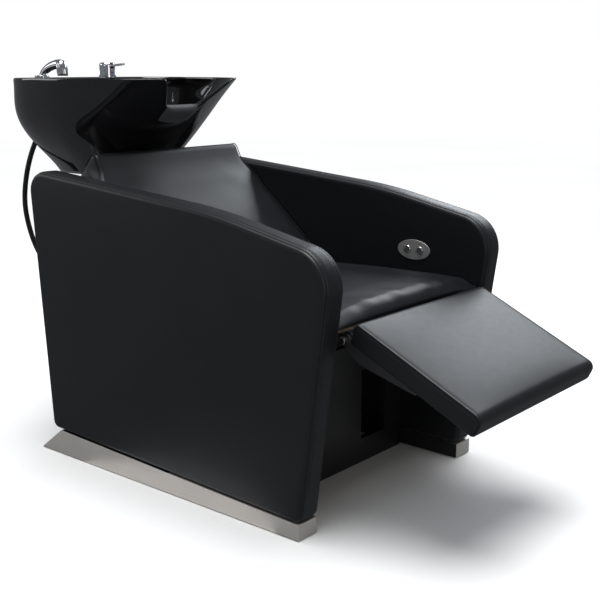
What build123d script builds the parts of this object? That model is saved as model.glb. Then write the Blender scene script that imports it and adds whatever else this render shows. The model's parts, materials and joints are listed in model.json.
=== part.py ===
"""Shampoo backwash unit: two upholstered side panels on steel-faced plinths carry a seat, a
reclined back, a powered footrest and a ceramic basin that tilts on a crossbeam. Millimetres.
+Z is up, -Y is the client's front and +X is the client's left."""

import os
from math import atan2, cos, degrees, hypot, pi, radians, sin, tan

from build123d import *

os.makedirs("parts", exist_ok=True)

# Overall frame
PANEL_IN = 275.0  # inner face of a side panel, from the centre plane
PANEL_OUT = 340.0  # outer face of a side panel
PAD_T = 12.0  # thickness of the foam and vinyl on each face of a side panel
PLINTH_IN = 280.0
FRONT_Y = -386.0  # front end of the plinths
REAR_Y = 484.0  # rear tip of the plinths
GLIDE_H, GLIDE_R = 2.0, 14.0
GAP = 0.3  # clearance between curved faces of neighbouring soft parts
FIT = 0.05  # radial clearance of pins and bolts
SIDES = (("left", 1), ("right", -1))

# Footrest
HINGE_Y, HINGE_Z = -420.0, 420.0
HINGE_R = 8.0  # radius of the footrest shaft
BUSH_WALL = 3.0
FOOT_SLOPE = 25.0  # degrees below horizontal at rest
FOOT_LEN, FOOT_HALF_W, FOOT_T, FOOT_BOARD_T = 330.0, 245.0, 48.0, 12.0
FOOT_TOP_Y, FOOT_TOP_Z = -455.0, 464.0  # top rear edge of the footrest cushion
CRANK_X, CRANK_R, CRANK_ANGLE = 150.0, 50.0, 45.0
PIVOT_Y, PIVOT_Z = -20.0, 240.0  # rear pivot of the actuator
PIN_R, FRONT_PIN_R = 6.0, 5.0

# Basin
RIM_Z, BASIN_SEAT_Z = 938.0, 705.0  # rim and the face that sits on the cradle
SKIRT_Z = 690.0  # lower edge of the basin
TILT_Y, TILT_Z = 450.0, 668.0
DRAIN_Y = 540.0
DECK_Y = 690.0
MIXER_X, GUIDE_X = 95.0, -130.0

HOSE_D = 14.0

written = []


def keep(builder, name):
    """Label a finished sub-part and write its STEP file."""
    builder.part.label = name
    export_step(builder.part, f"parts/{name}.step")
    written.append(name)


def low(sign, a, b):
    """Lower X of a slab that spans a to b from the centre plane on the side of sign."""
    return min(sign * a, sign * b)


def yz_slab(sign, a, b):
    """Plane across the unit at the lower X of a slab from a to b on the side of sign."""
    return Plane.YZ.offset(low(sign, a, b))


# ---------------------------------------------------------------- side panels and plinths


def panel_outline(inset=0.0):
    """Side panel outline in local YZ: leaning front edge, long convex top, sloped bottom."""
    corners = ((-386, 38), (-462.5, 604), (-139, 669.6), (487, 721), (436, 66))
    with BuildSketch() as outline:
        with BuildLine():
            FilletPolyline(*corners, close=True, radius=(16, 85, 1500, 50, 20))
        make_face()
        if inset:
            offset(amount=-inset)
    return outline.sketch


def plinth_outline(inset=0.0):
    """Wedge plinth outline: low at the front, slanted cut at the rear."""
    with BuildSketch() as outline:
        with BuildLine():
            Polyline(
                (FRONT_Y + inset, GLIDE_H),
                (REAR_Y - inset, GLIDE_H),
                (404 - inset, 63.5),
                (FRONT_Y + inset, 37.5),
                close=True,
            )
        make_face()
    return outline.sketch


CORE_T = PANEL_OUT - PANEL_IN - 2 * PAD_T
BAND_T = 10.0  # depth of the border band round the core
PAD_EDGE_R = 5.0
TRIM_T = 1.5
BOLT_REACH = 40.0  # how far the frame bolts run into the panels
panel_full = panel_outline()
panel_core = panel_outline(BAND_T)

for side, s in SIDES:
    with BuildPart() as outer_pad:
        with BuildSketch(yz_slab(s, PANEL_OUT - PAD_T, PANEL_OUT)):
            add(panel_full)
        extrude(amount=PAD_T)
        fillet(outer_pad.faces().sort_by(Axis.X)[-1 if s > 0 else 0].edges(), PAD_EDGE_R)
    keep(outer_pad, f"{side}_outer_pad")

    with BuildPart() as band:
        with BuildSketch(yz_slab(s, PANEL_IN + PAD_T, PANEL_OUT - PAD_T)):
            add(panel_full)
            add(panel_core, mode=Mode.SUBTRACT)
        extrude(amount=CORE_T)
    keep(band, f"{side}_border_band")

FRAME_BOLTS = [(y, 350.0) for y in (-340.0, -190.0, -40.0)]
BEAM_BOLTS = [(366.0, 615.0), (430.0, 615.0)]
SWITCH_Y, SWITCH_Z = -246.0, 521.0
SWITCH_POCKET = (78, 34, 6)
SWITCH_DEPTH = 34.0
BOLT_R, BOLT_HEAD_R, BOLT_HEAD_T = 4.0, 7.0, 5.0

for side, s in SIDES:
    with BuildPart() as core:
        with BuildSketch(yz_slab(s, PANEL_IN + PAD_T, PANEL_OUT - PAD_T)):
            add(panel_core)
        extrude(amount=CORE_T)
        with BuildSketch(yz_slab(s, PANEL_IN, PANEL_OUT - PAD_T - PAD_EDGE_R)):
            with Locations(*(FRAME_BOLTS + BEAM_BOLTS)):
                Circle(BOLT_R)
        extrude(amount=CORE_T + PAD_T - PAD_EDGE_R, mode=Mode.SUBTRACT)
        if side == "left":
            with BuildSketch(Plane.YZ.offset(PANEL_IN)):
                with Locations((SWITCH_Y, SWITCH_Z)):
                    RectangleRounded(*SWITCH_POCKET)
            extrude(amount=SWITCH_DEPTH + 4, mode=Mode.SUBTRACT)
    keep(core, f"{side}_panel_core")

    with BuildPart() as pad:
        with BuildSketch(yz_slab(s, PANEL_IN, PANEL_IN + PAD_T)):
            add(panel_full)
        extrude(amount=PAD_T)
        fillet(pad.faces().sort_by(Axis.X)[0 if s > 0 else -1].edges(), PAD_EDGE_R)
        with BuildSketch(yz_slab(s, PANEL_IN - 1, PANEL_IN + PAD_T + 1)):
            with Locations(*(FRAME_BOLTS + BEAM_BOLTS)):
                Circle(BOLT_R)
            if side == "left":
                with Locations((SWITCH_Y, SWITCH_Z)):
                    RectangleRounded(*SWITCH_POCKET)
        extrude(amount=PAD_T + 2, mode=Mode.SUBTRACT)
    keep(pad, f"{side}_inner_pad")

    with BuildPart() as plinth:
        with BuildSketch(yz_slab(s, PLINTH_IN, PANEL_OUT - TRIM_T)):
            add(plinth_outline(TRIM_T))
        extrude(amount=PANEL_OUT - TRIM_T - PLINTH_IN)
    keep(plinth, f"{side}_plinth_core")

    with BuildPart() as trim:
        with BuildSketch(yz_slab(s, PLINTH_IN, PANEL_OUT)):
            add(plinth_outline())
        extrude(amount=PANEL_OUT - PLINTH_IN)
        with BuildSketch(yz_slab(s, PLINTH_IN - 1, PANEL_OUT - TRIM_T)):
            add(plinth_outline(TRIM_T))
        extrude(amount=PANEL_OUT - TRIM_T - PLINTH_IN + 1, mode=Mode.SUBTRACT)
    keep(trim, f"{side}_plinth_trim")

with BuildPart() as glides:
    with BuildSketch(Plane.XY):
        for _, s in SIDES:
            with Locations(*[(s * 309, y) for y in (-350, -80, 190, 440)]):
                Circle(GLIDE_R)
    extrude(amount=GLIDE_H)
keep(glides, "floor_glides")

# ---------------------------------------------------------------- seat frame and bolts

PLATE_T = 4.0
RAIL, RAIL_WALL = 30.0, 2.0
SEAT_TOP_Z = 430.0  # underside of the seat board

with BuildPart() as seat_frame:
    for _, s in SIDES:
        with BuildSketch(yz_slab(s, PANEL_IN - PLATE_T, PANEL_IN)):
            with BuildLine():
                Polyline(
                    (-385, 330), (20, 330), (60, 372), (60, SEAT_TOP_Z), (-385, SEAT_TOP_Z),
                    close=True,
                )
            make_face()
            with Locations(*FRAME_BOLTS):
                Circle(BOLT_R, mode=Mode.SUBTRACT)
        extrude(amount=PLATE_T)
    for y in (-370, -150, 40):
        with Locations((0, y, SEAT_TOP_Z - RAIL / 2)):
            Box(2 * PANEL_IN - PLATE_T, RAIL, RAIL)
            Box(
                2 * PANEL_IN - 3 * PLATE_T, RAIL - 2 * RAIL_WALL, RAIL - 2 * RAIL_WALL,
                mode=Mode.SUBTRACT,
            )
    # hinge plates that carry the footrest shaft
    for x in (-224.0, 220.0):
        with BuildSketch(Plane.YZ.offset(x)):
            with BuildLine():
                Polyline((-385, 400), (-385, 430), (-420, 430), (-420, 406), close=True)
            make_face()
            with Locations((HINGE_Y, HINGE_Z)):
                Circle(15)
                Circle(HINGE_R + BUSH_WALL, mode=Mode.SUBTRACT)
        extrude(amount=PLATE_T)
    # lugs under the middle rail that hold the actuator's rear pin
    for x in (CRANK_X - 18, CRANK_X + 14):
        with BuildSketch(Plane.YZ.offset(x)):
            with BuildLine():
                Polyline((5, 402), (50, 402), (-4, 232), (-30, 252), close=True)
            make_face()
            with Locations((PIVOT_Y, PIVOT_Z)):
                Circle(18)
                Circle(PIN_R + FIT, mode=Mode.SUBTRACT)
        extrude(amount=PLATE_T)
    with Locations((CRANK_X, 20, 402)):
        Box(60, 70, 4)
keep(seat_frame, "seat_frame")

with BuildPart() as frame_bolts:
    for _, s in SIDES:
        with BuildSketch(yz_slab(s, PANEL_IN - PLATE_T - BOLT_HEAD_T, PANEL_IN - PLATE_T)):
            with Locations(*(FRAME_BOLTS + BEAM_BOLTS)):
                RegularPolygon(BOLT_HEAD_R, 6)
        extrude(amount=BOLT_HEAD_T)
        with BuildSketch(yz_slab(s, PANEL_IN - PLATE_T, PANEL_IN + BOLT_REACH)):
            with Locations(*(FRAME_BOLTS + BEAM_BOLTS)):
                Circle(BOLT_R - FIT)
        extrude(amount=BOLT_REACH + PLATE_T)
keep(frame_bolts, "frame_bolts")

SHAFT_HALF = 244.0
with BuildPart() as bushes:
    for x in (-225.0, 219.0):
        with BuildSketch(Plane.YZ.offset(x)):
            with Locations((HINGE_Y, HINGE_Z)):
                Circle(HINGE_R + BUSH_WALL)
                Circle(HINGE_R + FIT, mode=Mode.SUBTRACT)
        extrude(amount=6)
keep(bushes, "footrest_shaft_bushes")

# ---------------------------------------------------------------- seat and back

SEAT_HALF = 272.0
SEAT_FRONT_Y, SEAT_TOP = -434.0, 486.0
with BuildPart() as seat_board:
    with Locations((0, -180, SEAT_TOP_Z + 9)):
        Box(2 * SEAT_HALF - 4, 440, 18)
keep(seat_board, "seat_board")

with BuildPart() as seat_cushion:
    with BuildSketch(Plane.YZ.offset(-SEAT_HALF)):
        with BuildLine():
            Polyline(
                (SEAT_FRONT_Y, 448), (SEAT_FRONT_Y, SEAT_TOP), (28, 480), (28, 448), close=True,
            )
        make_face()
    extrude(amount=2 * SEAT_HALF)
    fillet(seat_cushion.edges().filter_by(Axis.X).group_by(Axis.Y)[0].sort_by(Axis.Z)[-1], 30)
keep(seat_cushion, "seat_cushion")

BACK_RISE = atan2(650 - 428, 352 - 95)  # slope of the backrest board

with BuildPart() as backrest_cushion:
    with BuildSketch(Plane.YZ.offset(-SEAT_HALF)):
        with BuildLine():
            Polyline(
                (38, 462), (193, 594), (262, 650), (311, 708), (341, 769),
                (394, 706), (352, 650), (95, 428), close=True,
            )
        make_face()
    extrude(amount=2 * SEAT_HALF)
    fillet(backrest_cushion.edges().filter_by(Axis.X).sort_by(Axis.Z)[-1], 16)
keep(backrest_cushion, "backrest_cushion")

with BuildPart() as backrest_board:
    with BuildSketch(Plane.YZ.offset(-SEAT_HALF + 2)):
        with Locations((95, 428)):
            with Locations(Location((0, 0, 0), (0, 0, degrees(BACK_RISE)))):
                Rectangle(325, 12, align=(Align.MIN, Align.MAX))
    extrude(amount=2 * SEAT_HALF - 4)
keep(backrest_board, "backrest_board")

with BuildPart() as backrest_cleats:
    for _, s in SIDES:
        with BuildSketch(yz_slab(s, PANEL_IN - 30, PANEL_IN)):
            with Locations((95, 428)):
                with Locations(Location((0, 0, 0), (0, 0, degrees(BACK_RISE)))):
                    with Locations((40, -12)):
                        Rectangle(240, 30, align=(Align.MIN, Align.MAX))
        extrude(amount=30)
keep(backrest_cleats, "backrest_cleats")

# ---------------------------------------------------------------- kick panel and rear panel

KICK_Y, KICK_T = -216.0, 15.0
KICK_HALF = 274.0
SLOT_IN, SLOT_OUT, SLOT_Z = 104.0, 203.0, 62.0
KICK_TOP_Z, KICK_LOW_Z = 312.0, 187.0

with BuildPart() as kick_panel:
    with BuildSketch(Plane.XZ.offset(-KICK_Y - KICK_T)):
        with Locations((0, KICK_TOP_Z / 2)):
            Rectangle(2 * KICK_HALF, KICK_TOP_Z - 1)
        for s in (1, -1):
            with Locations((s * (SLOT_IN + SLOT_OUT) / 2, (SLOT_Z + KICK_TOP_Z) / 2 + 10)):
                Rectangle(SLOT_OUT - SLOT_IN, KICK_TOP_Z - SLOT_Z + 20, mode=Mode.SUBTRACT)
            with Locations((s * (SLOT_OUT + KICK_HALF) / 2, (KICK_LOW_Z + KICK_TOP_Z) / 2 + 10)):
                Rectangle(KICK_HALF - SLOT_OUT + 2, KICK_TOP_Z - KICK_LOW_Z + 20, mode=Mode.SUBTRACT)
    extrude(amount=KICK_T)
keep(kick_panel, "kick_panel")

REAR_PANEL_Y, REAR_PANEL_T = 388.0, 12.0
INLET_X, INLET_Z = 190.0, 140.0
COVER_W, COVER_H, COVER_Z = 300.0, 200.0, 360.0

with BuildPart() as rear_panel:
    with BuildSketch(Plane.XZ.offset(-REAR_PANEL_Y - REAR_PANEL_T)):
        with Locations((0, 313)):
            Rectangle(2 * KICK_HALF, 494)
        with Locations((0, COVER_Z)):
            Rectangle(COVER_W - 50, COVER_H - 50, mode=Mode.SUBTRACT)
        with Locations((INLET_X, INLET_Z)):
            Rectangle(34, 28, mode=Mode.SUBTRACT)
    extrude(amount=REAR_PANEL_T)
keep(rear_panel, "rear_panel")

with BuildPart() as battens:
    for _, s in SIDES:
        with Locations((s * (PANEL_IN - 9), KICK_Y + KICK_T + 9, 112)):
            Box(18, 18, 140)
        with Locations((s * (PANEL_IN - 9), REAR_PANEL_Y - 9, 310)):
            Box(18, 18, 400)
keep(battens, "panel_battens")

COVER_Y = REAR_PANEL_Y + REAR_PANEL_T
SCREWS = [(x, COVER_Z + z) for x in (-138, 138) for z in (-88, 88)]
with BuildPart() as access_cover:
    with BuildSketch(Plane.XZ.offset(-COVER_Y - 3)):
        with Locations((0, COVER_Z)):
            RectangleRounded(COVER_W, COVER_H, 10)
        with Locations(*SCREWS):
            Circle(2.2, mode=Mode.SUBTRACT)
    extrude(amount=3)
keep(access_cover, "rear_access_cover")

with BuildPart() as cover_screws:
    with BuildSketch(Plane.XZ.offset(-COVER_Y - 6)):
        with Locations(*SCREWS):
            Circle(5)
    extrude(amount=3)
    fillet(cover_screws.faces().group_by(Axis.Y)[-1].edges(), 1.5)
    with BuildSketch(Plane.XZ.offset(-COVER_Y - 3)):
        with Locations(*SCREWS):
            Circle(2.1)
    extrude(amount=3)
keep(cover_screws, "access_cover_screws")

with BuildPart() as inlet:
    with Locations((INLET_X, COVER_Y + 1.5, INLET_Z)):
        Box(50, 3, 38)
    fillet(inlet.edges().filter_by(Axis.Y), 6)
    with Locations((INLET_X, COVER_Y - 14, INLET_Z)):
        Box(32, 28, 26)
    with Locations((INLET_X, COVER_Y - 8, INLET_Z)):
        Box(24, 23, 17, mode=Mode.SUBTRACT)
    for x, z in ((0, 4), (-7, -2), (7, -2)):
        with Locations((INLET_X + x, COVER_Y - 12, INLET_Z + z)):
            Box(2, 15.5, 4)
keep(inlet, "power_inlet")

with BuildPart() as control_box:
    with Locations((190, REAR_PANEL_Y - 24, 260)):
        Box(110, 48, 160)
    fillet(control_box.edges().filter_by(Axis.Y), 6)
keep(control_box, "control_box")

# ---------------------------------------------------------------- footrest

slope = radians(FOOT_SLOPE)
foot_top = Plane(
    origin=(0, FOOT_TOP_Y, FOOT_TOP_Z), x_dir=(1, 0, 0), z_dir=(0, -sin(slope), cos(slope))
)


def foot_side(x):
    """Plane across the footrest at x: local x runs up its slope, local y is its thickness."""
    return Plane(
        origin=(x, FOOT_TOP_Y, FOOT_TOP_Z), x_dir=(0, cos(slope), sin(slope)), z_dir=(1, 0, 0)
    )


hub = foot_side(0).to_local_coords(Vector(0, HINGE_Y, HINGE_Z))
HUB = (hub.X, hub.Y)  # hinge centre in the footrest's own side plane
BOARD_Z = FOOT_BOARD_T - FOOT_T
FOOT_WRAP, FOOT_NOSE = 7.0, 16.0  # how far the cushion laps the board's sides and front

with BuildPart() as footrest_cushion:
    with BuildSketch(foot_side(-FOOT_HALF_W)):
        with BuildLine():
            Polyline(
                (-6, 2 - FOOT_T), (0, -14), (0, 0), (-FOOT_LEN, 0), (-FOOT_LEN, 2 - FOOT_T),
                close=True,
            )
        make_face()
    extrude(amount=2 * FOOT_HALF_W)
    nose = footrest_cushion.edges().filter_by(Axis.X).group_by(Axis.Y)[0]
    fillet(nose, 14)
    # recess for the board, open below and behind
    with BuildSketch(foot_side(-FOOT_HALF_W + FOOT_WRAP)):
        with Locations((-FOOT_LEN / 2 + FOOT_NOSE, BOARD_Z - FOOT_BOARD_T / 2)):
            Rectangle(FOOT_LEN, FOOT_BOARD_T)
    extrude(amount=2 * (FOOT_HALF_W - FOOT_WRAP), mode=Mode.SUBTRACT)
keep(footrest_cushion, "footrest_cushion")

with BuildPart() as footrest_board:
    with BuildSketch(foot_side(-FOOT_HALF_W + FOOT_WRAP + GAP)):
        with Locations((-(FOOT_LEN - FOOT_NOSE + 8) / 2, -FOOT_T + FOOT_BOARD_T / 2)):
            Rectangle(FOOT_LEN - FOOT_NOSE - 10, FOOT_BOARD_T)
    extrude(amount=2 * (FOOT_HALF_W - FOOT_WRAP - GAP))
keep(footrest_board, "footrest_board")

with BuildPart() as footrest_arms:
    for x in (-233.0, 228.0):
        with BuildSketch(foot_side(x)):
            with BuildLine():
                Polyline(
                    (-8, -48), (-180, -48), (-180, -56), (-40, -80), (10, -68), (10, -50),
                    close=True,
                )
            make_face()
            with Locations(HUB):
                Circle(14)
                Circle(HINGE_R, mode=Mode.SUBTRACT)
        extrude(amount=5)
    for x in (-228.0, 208.0):
        with BuildSketch(foot_side(x)):
            with Locations((-100, -49.5)):
                Rectangle(150, 3)
        extrude(amount=20)
keep(footrest_arms, "footrest_arms")

CRANK_Y = HINGE_Y - CRANK_R * sin(radians(CRANK_ANGLE))
CRANK_Z = HINGE_Z - CRANK_R * cos(radians(CRANK_ANGLE))
CRANK_T = 8.0
with BuildPart() as shaft:
    with BuildSketch(Plane.YZ.offset(-SHAFT_HALF)):
        with Locations((HINGE_Y, HINGE_Z)):
            Circle(HINGE_R)
    extrude(amount=2 * SHAFT_HALF)
    chamfer(shaft.edges().filter_by(GeomType.CIRCLE), 1)
keep(shaft, "footrest_shaft")

with BuildPart() as crank:
    with BuildSketch(Plane.YZ.offset(CRANK_X - CRANK_T / 2)):
        with BuildLine():
            Polyline(
                (HINGE_Y, HINGE_Z - 14), (HINGE_Y - 14, HINGE_Z),
                (CRANK_Y - 12, CRANK_Z + 12), (CRANK_Y + 12, CRANK_Z - 12), close=True,
            )
        make_face()
        with Locations((HINGE_Y, HINGE_Z)):
            Circle(15)
        with Locations((CRANK_Y, CRANK_Z)):
            Circle(17)
            Circle(12, mode=Mode.SUBTRACT)
        with Locations((HINGE_Y, HINGE_Z)):
            Circle(HINGE_R, mode=Mode.SUBTRACT)
    extrude(amount=CRANK_T)
keep(crank, "footrest_crank")

# ---------------------------------------------------------------- linear actuator

ACT_LEN = hypot(CRANK_Y - PIVOT_Y, CRANK_Z - PIVOT_Z)
ACT_TURN = degrees(atan2(PIVOT_Z - CRANK_Z, PIVOT_Y - CRANK_Y))
act_dir = (0, (CRANK_Y - PIVOT_Y) / ACT_LEN, (CRANK_Z - PIVOT_Z) / ACT_LEN)


def act_plane(d):
    """Plane square to the actuator at d from its rear pivot."""
    origin = (CRANK_X, PIVOT_Y + act_dir[1] * d, PIVOT_Z + act_dir[2] * d)
    return Plane(origin=origin, x_dir=(1, 0, 0), z_dir=act_dir)


ROD_R, TUBE_R = 9.0, 18.0
CLEVIS = 50.0  # from the eye's centre back to the end of the clevis
with BuildPart() as gearbox:
    with BuildSketch(Plane.YZ.offset(CRANK_X - 13)):
        with Locations((PIVOT_Y, PIVOT_Z)):
            Circle(14)
    extrude(amount=26)
    with BuildSketch(act_plane(8)):
        Rectangle(26, 26)
    extrude(amount=16)
    with BuildSketch(act_plane(22)):
        with Locations((0, -20)):
            RectangleRounded(52, 96, 8)
    extrude(amount=40)
    with BuildSketch(Plane.YZ.offset(CRANK_X - 20)):
        with Locations((PIVOT_Y, PIVOT_Z)):
            Circle(PIN_R + FIT)
    extrude(amount=40, mode=Mode.SUBTRACT)
keep(gearbox, "actuator_gearbox")

with BuildPart() as motor:
    with BuildSketch(act_plane(62)):
        with Locations((0, -45)):
            Circle(21)
    extrude(amount=96)
    chamfer(motor.edges().filter_by(GeomType.CIRCLE).sort_by(Axis.Y)[0], 3)
keep(motor, "actuator_motor")

with BuildPart() as tube:
    with BuildSketch(act_plane(62)):
        Circle(TUBE_R)
    extrude(amount=218)
    with BuildSketch(act_plane(64)):
        Circle(ROD_R + FIT)
    extrude(amount=220, mode=Mode.SUBTRACT)
keep(tube, "actuator_tube")

with BuildPart() as rod:
    with BuildSketch(act_plane(110)):
        Circle(ROD_R)
    extrude(amount=ACT_LEN - 110 - CLEVIS)
    with BuildSketch(act_plane(ACT_LEN - CLEVIS)):
        Rectangle(24, 16)
    extrude(amount=10)
    for x in (CRANK_X - 12, CRANK_X + 7):
        with BuildSketch(Plane.YZ.offset(x)):
            with Locations((CRANK_Y, CRANK_Z)):
                Circle(2 * FRONT_PIN_R)
            with Locations(Location((CRANK_Y, CRANK_Z, 0), (0, 0, ACT_TURN))):
                Rectangle(CLEVIS, 16, align=(Align.MIN, Align.CENTER))
            with Locations((CRANK_Y, CRANK_Z)):
                Circle(FRONT_PIN_R + FIT, mode=Mode.SUBTRACT)
        extrude(amount=5)
keep(rod, "actuator_rod")

with BuildPart() as rear_pin:
    with BuildSketch(Plane.YZ.offset(CRANK_X - 24)):
        with Locations((PIVOT_Y, PIVOT_Z)):
            Circle(PIN_R)
    extrude(amount=48)
keep(rear_pin, "actuator_rear_pin")

with BuildPart() as front_pin:
    with BuildSketch(Plane.YZ.offset(CRANK_X - 16)):
        with Locations((CRANK_Y, CRANK_Z)):
            Circle(FRONT_PIN_R)
    extrude(amount=32)
keep(front_pin, "actuator_front_pin")

# ---------------------------------------------------------------- switch on the left panel

PLATE_X = PANEL_IN - 2.5
BUTTONS = (("up_button", SWITCH_Y - 18.5), ("down_button", SWITCH_Y + 18.5))
BUTTON_R = 10.0
with BuildPart() as switch_plate:
    with BuildSketch(Plane.YZ.offset(PLATE_X)):
        with Locations((SWITCH_Y, SWITCH_Z)):
            Ellipse(47.5, 25)
            for _, y in BUTTONS:
                with Locations((y - SWITCH_Y, 0)):
                    Circle(BUTTON_R + 0.5, mode=Mode.SUBTRACT)
    extrude(amount=2.4)
    fillet(switch_plate.faces().sort_by(Axis.X)[0].outer_wire().edges(), 0.8)
keep(switch_plate, "switch_plate")

with BuildPart() as switch_housing:
    with BuildSketch(Plane.YZ.offset(PANEL_IN)):
        with Locations((SWITCH_Y, SWITCH_Z)):
            RectangleRounded(76, 32, 5)
    extrude(amount=SWITCH_DEPTH)
    with BuildSketch(Plane.YZ.offset(PANEL_IN - 1)):
        with Locations(*[(y, SWITCH_Z) for _, y in BUTTONS]):
            Circle(BUTTON_R + 0.5)
    extrude(amount=21, mode=Mode.SUBTRACT)
keep(switch_housing, "switch_housing")

for name, y in BUTTONS:
    with BuildPart() as button:
        with BuildSketch(Plane.YZ.offset(PANEL_IN - 6)):
            with Locations((y, SWITCH_Z)):
                Circle(BUTTON_R)
        extrude(amount=20)
        fillet(button.faces().sort_by(Axis.X)[0].edges(), 3)
    keep(button, name)

# ---------------------------------------------------------------- basin carrier

BEAM_Y, BEAM_Z = 398.0, 615.0
FIXED_EAR, MOVING_EAR, WASHER_T = 50.0, 58.0, 1.8
with BuildPart() as beam:
    with Locations((0, BEAM_Y, BEAM_Z)):
        Box(2 * PANEL_IN - 2 * PLATE_T, 40, 50)
        Box(2 * PANEL_IN - 2 * PLATE_T, 34, 44, mode=Mode.SUBTRACT)
    for _, s in SIDES:
        with BuildSketch(yz_slab(s, PANEL_IN - PLATE_T, PANEL_IN)):
            with Locations((BEAM_Y, BEAM_Z)):
                RectangleRounded(90, 64, 8)
            with Locations(*BEAM_BOLTS):
                Circle(BOLT_R, mode=Mode.SUBTRACT)
        extrude(amount=PLATE_T)
    with Locations((0, BEAM_Y, BEAM_Z + 25 + 2.5)):
        Box(124, 40, 5)
    for x in (-FIXED_EAR - 6, FIXED_EAR):
        with BuildSketch(Plane.YZ.offset(x)):
            with BuildLine():
                Polyline((380, 644), (417, 644), (462, TILT_Z - 10), (440, TILT_Z + 12), close=True)
            make_face()
            with Locations((TILT_Y, TILT_Z)):
                Circle(16)
                Circle(PIN_R + FIT, mode=Mode.SUBTRACT)
        extrude(amount=6)
keep(beam, "basin_crossbeam")

with BuildPart() as tilt_cradle:
    with Locations((0, 462, BASIN_SEAT_Z - 2.5)):
        Box(170, 76, 5)
    for x in (-MOVING_EAR - 5, MOVING_EAR):
        with BuildSketch(Plane.YZ.offset(x)):
            with BuildLine():
                Polyline((428, 701), (496, 701), (464, TILT_Z - 6), (436, TILT_Z - 6), close=True)
            make_face()
            with Locations((TILT_Y, TILT_Z)):
                Circle(16)
                Circle(PIN_R + FIT, mode=Mode.SUBTRACT)
        extrude(amount=5)
keep(tilt_cradle, "tilt_cradle")

with BuildPart() as washers:
    for x in (-MOVING_EAR + 0.1, FIXED_EAR + 6.1):
        with BuildSketch(Plane.YZ.offset(x)):
            with Locations((TILT_Y, TILT_Z)):
                Circle(14)
                Circle(PIN_R + 0.2, mode=Mode.SUBTRACT)
        extrude(amount=WASHER_T)
keep(washers, "tilt_friction_washers")

with BuildPart() as tilt_bolt:
    with BuildSketch(Plane.YZ.offset(-66)):
        with Locations((TILT_Y, TILT_Z)):
            Circle(PIN_R)
    extrude(amount=132)
    for x in (-71, 64):
        with BuildSketch(Plane.YZ.offset(x)):
            with Locations((TILT_Y, TILT_Z)):
                RegularPolygon(11, 6)
        extrude(amount=7)
keep(tilt_bolt, "tilt_bolt")

# ---------------------------------------------------------------- basin

STEPS = 12  # points along a quarter of an outline
FRONT_POWER = 2.3


def rim_outline(half_w, front, rear, middle, power):
    """Closed smooth outline: squarish at the rear by power and rounder at the front."""
    points = []
    for i in range(4 * STEPS):
        t = 2 * pi * i / (4 * STEPS)
        c, v = cos(t), sin(t)
        n = power if v > 0 else FRONT_POWER
        reach = rear - middle if v > 0 else middle - front
        x = half_w * abs(c) ** (2 / n) * (1 if c >= 0 else -1)
        y = middle + reach * abs(v) ** (2 / n) * (1 if v >= 0 else -1)
        points.append((x, y))
    with BuildSketch() as outline:
        with BuildLine():
            Spline(*points, periodic=True)
        make_face()
    return outline.sketch


# height, half width, front, rear, widest line and rear power of each section
OUTER = (
    (RIM_Z, 250, 186, 749, 520, 3.6),
    (868, 248, 280, 749, 524, 3.6),
    (800, 227, 355, 741, 528, 3.3),
    (750, 191, 397, 722, 530, 2.9),
    (SKIRT_Z, 139, 438, 693, 536, 2.8),
)
INNER = (
    (RIM_Z + 12, 233, 188, 640, 462, 3.4),
    (868, 230, 302, 636, 480, 3.2),
    (800, 207, 377, 622, 494, 2.8),
    (755, 168, 418, 602, 508, 2.5),
    (722, 110, 462, 594, 528, 2.2),
)
NECK_Z, NECK_HALF, NECK_R = 862.0, 50.0, 34.0  # floor of the neck recess and its corners
NECK_TOP_HALF = 126.0
NECK_FRONT, NECK_REAR = 150.0, 430.0
PAD_GEL = 10.0  # thickness of the gel pad over the recess


def neck_profile():
    """Recess for the neck in XZ: a rounded trapezoid that opens through the rim."""
    top = RIM_Z + 14
    corners = (
        (-NECK_TOP_HALF, top), (-NECK_HALF, NECK_Z), (NECK_HALF, NECK_Z), (NECK_TOP_HALF, top)
    )
    with BuildSketch() as profile:
        with BuildLine():
            FilletPolyline(*corners, radius=NECK_R)
            Line(corners[-1], corners[0])
        make_face()
    return profile.sketch


def shell(sections, grow=0.0):
    """Solid through the sections, each grown sideways and to the front."""
    with BuildPart() as body:
        for z, half_w, front, rear, middle, power in sections:
            with BuildSketch(Plane.XY.offset(z)):
                add(rim_outline(half_w + grow, front - grow, rear, middle, power))
        loft()
    return body.part


outer_shell = shell(OUTER)
bowl = shell(INNER)
pad_inside = shell(OUTER, GAP)
pad_outside = shell(OUTER, PAD_GEL)

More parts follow.
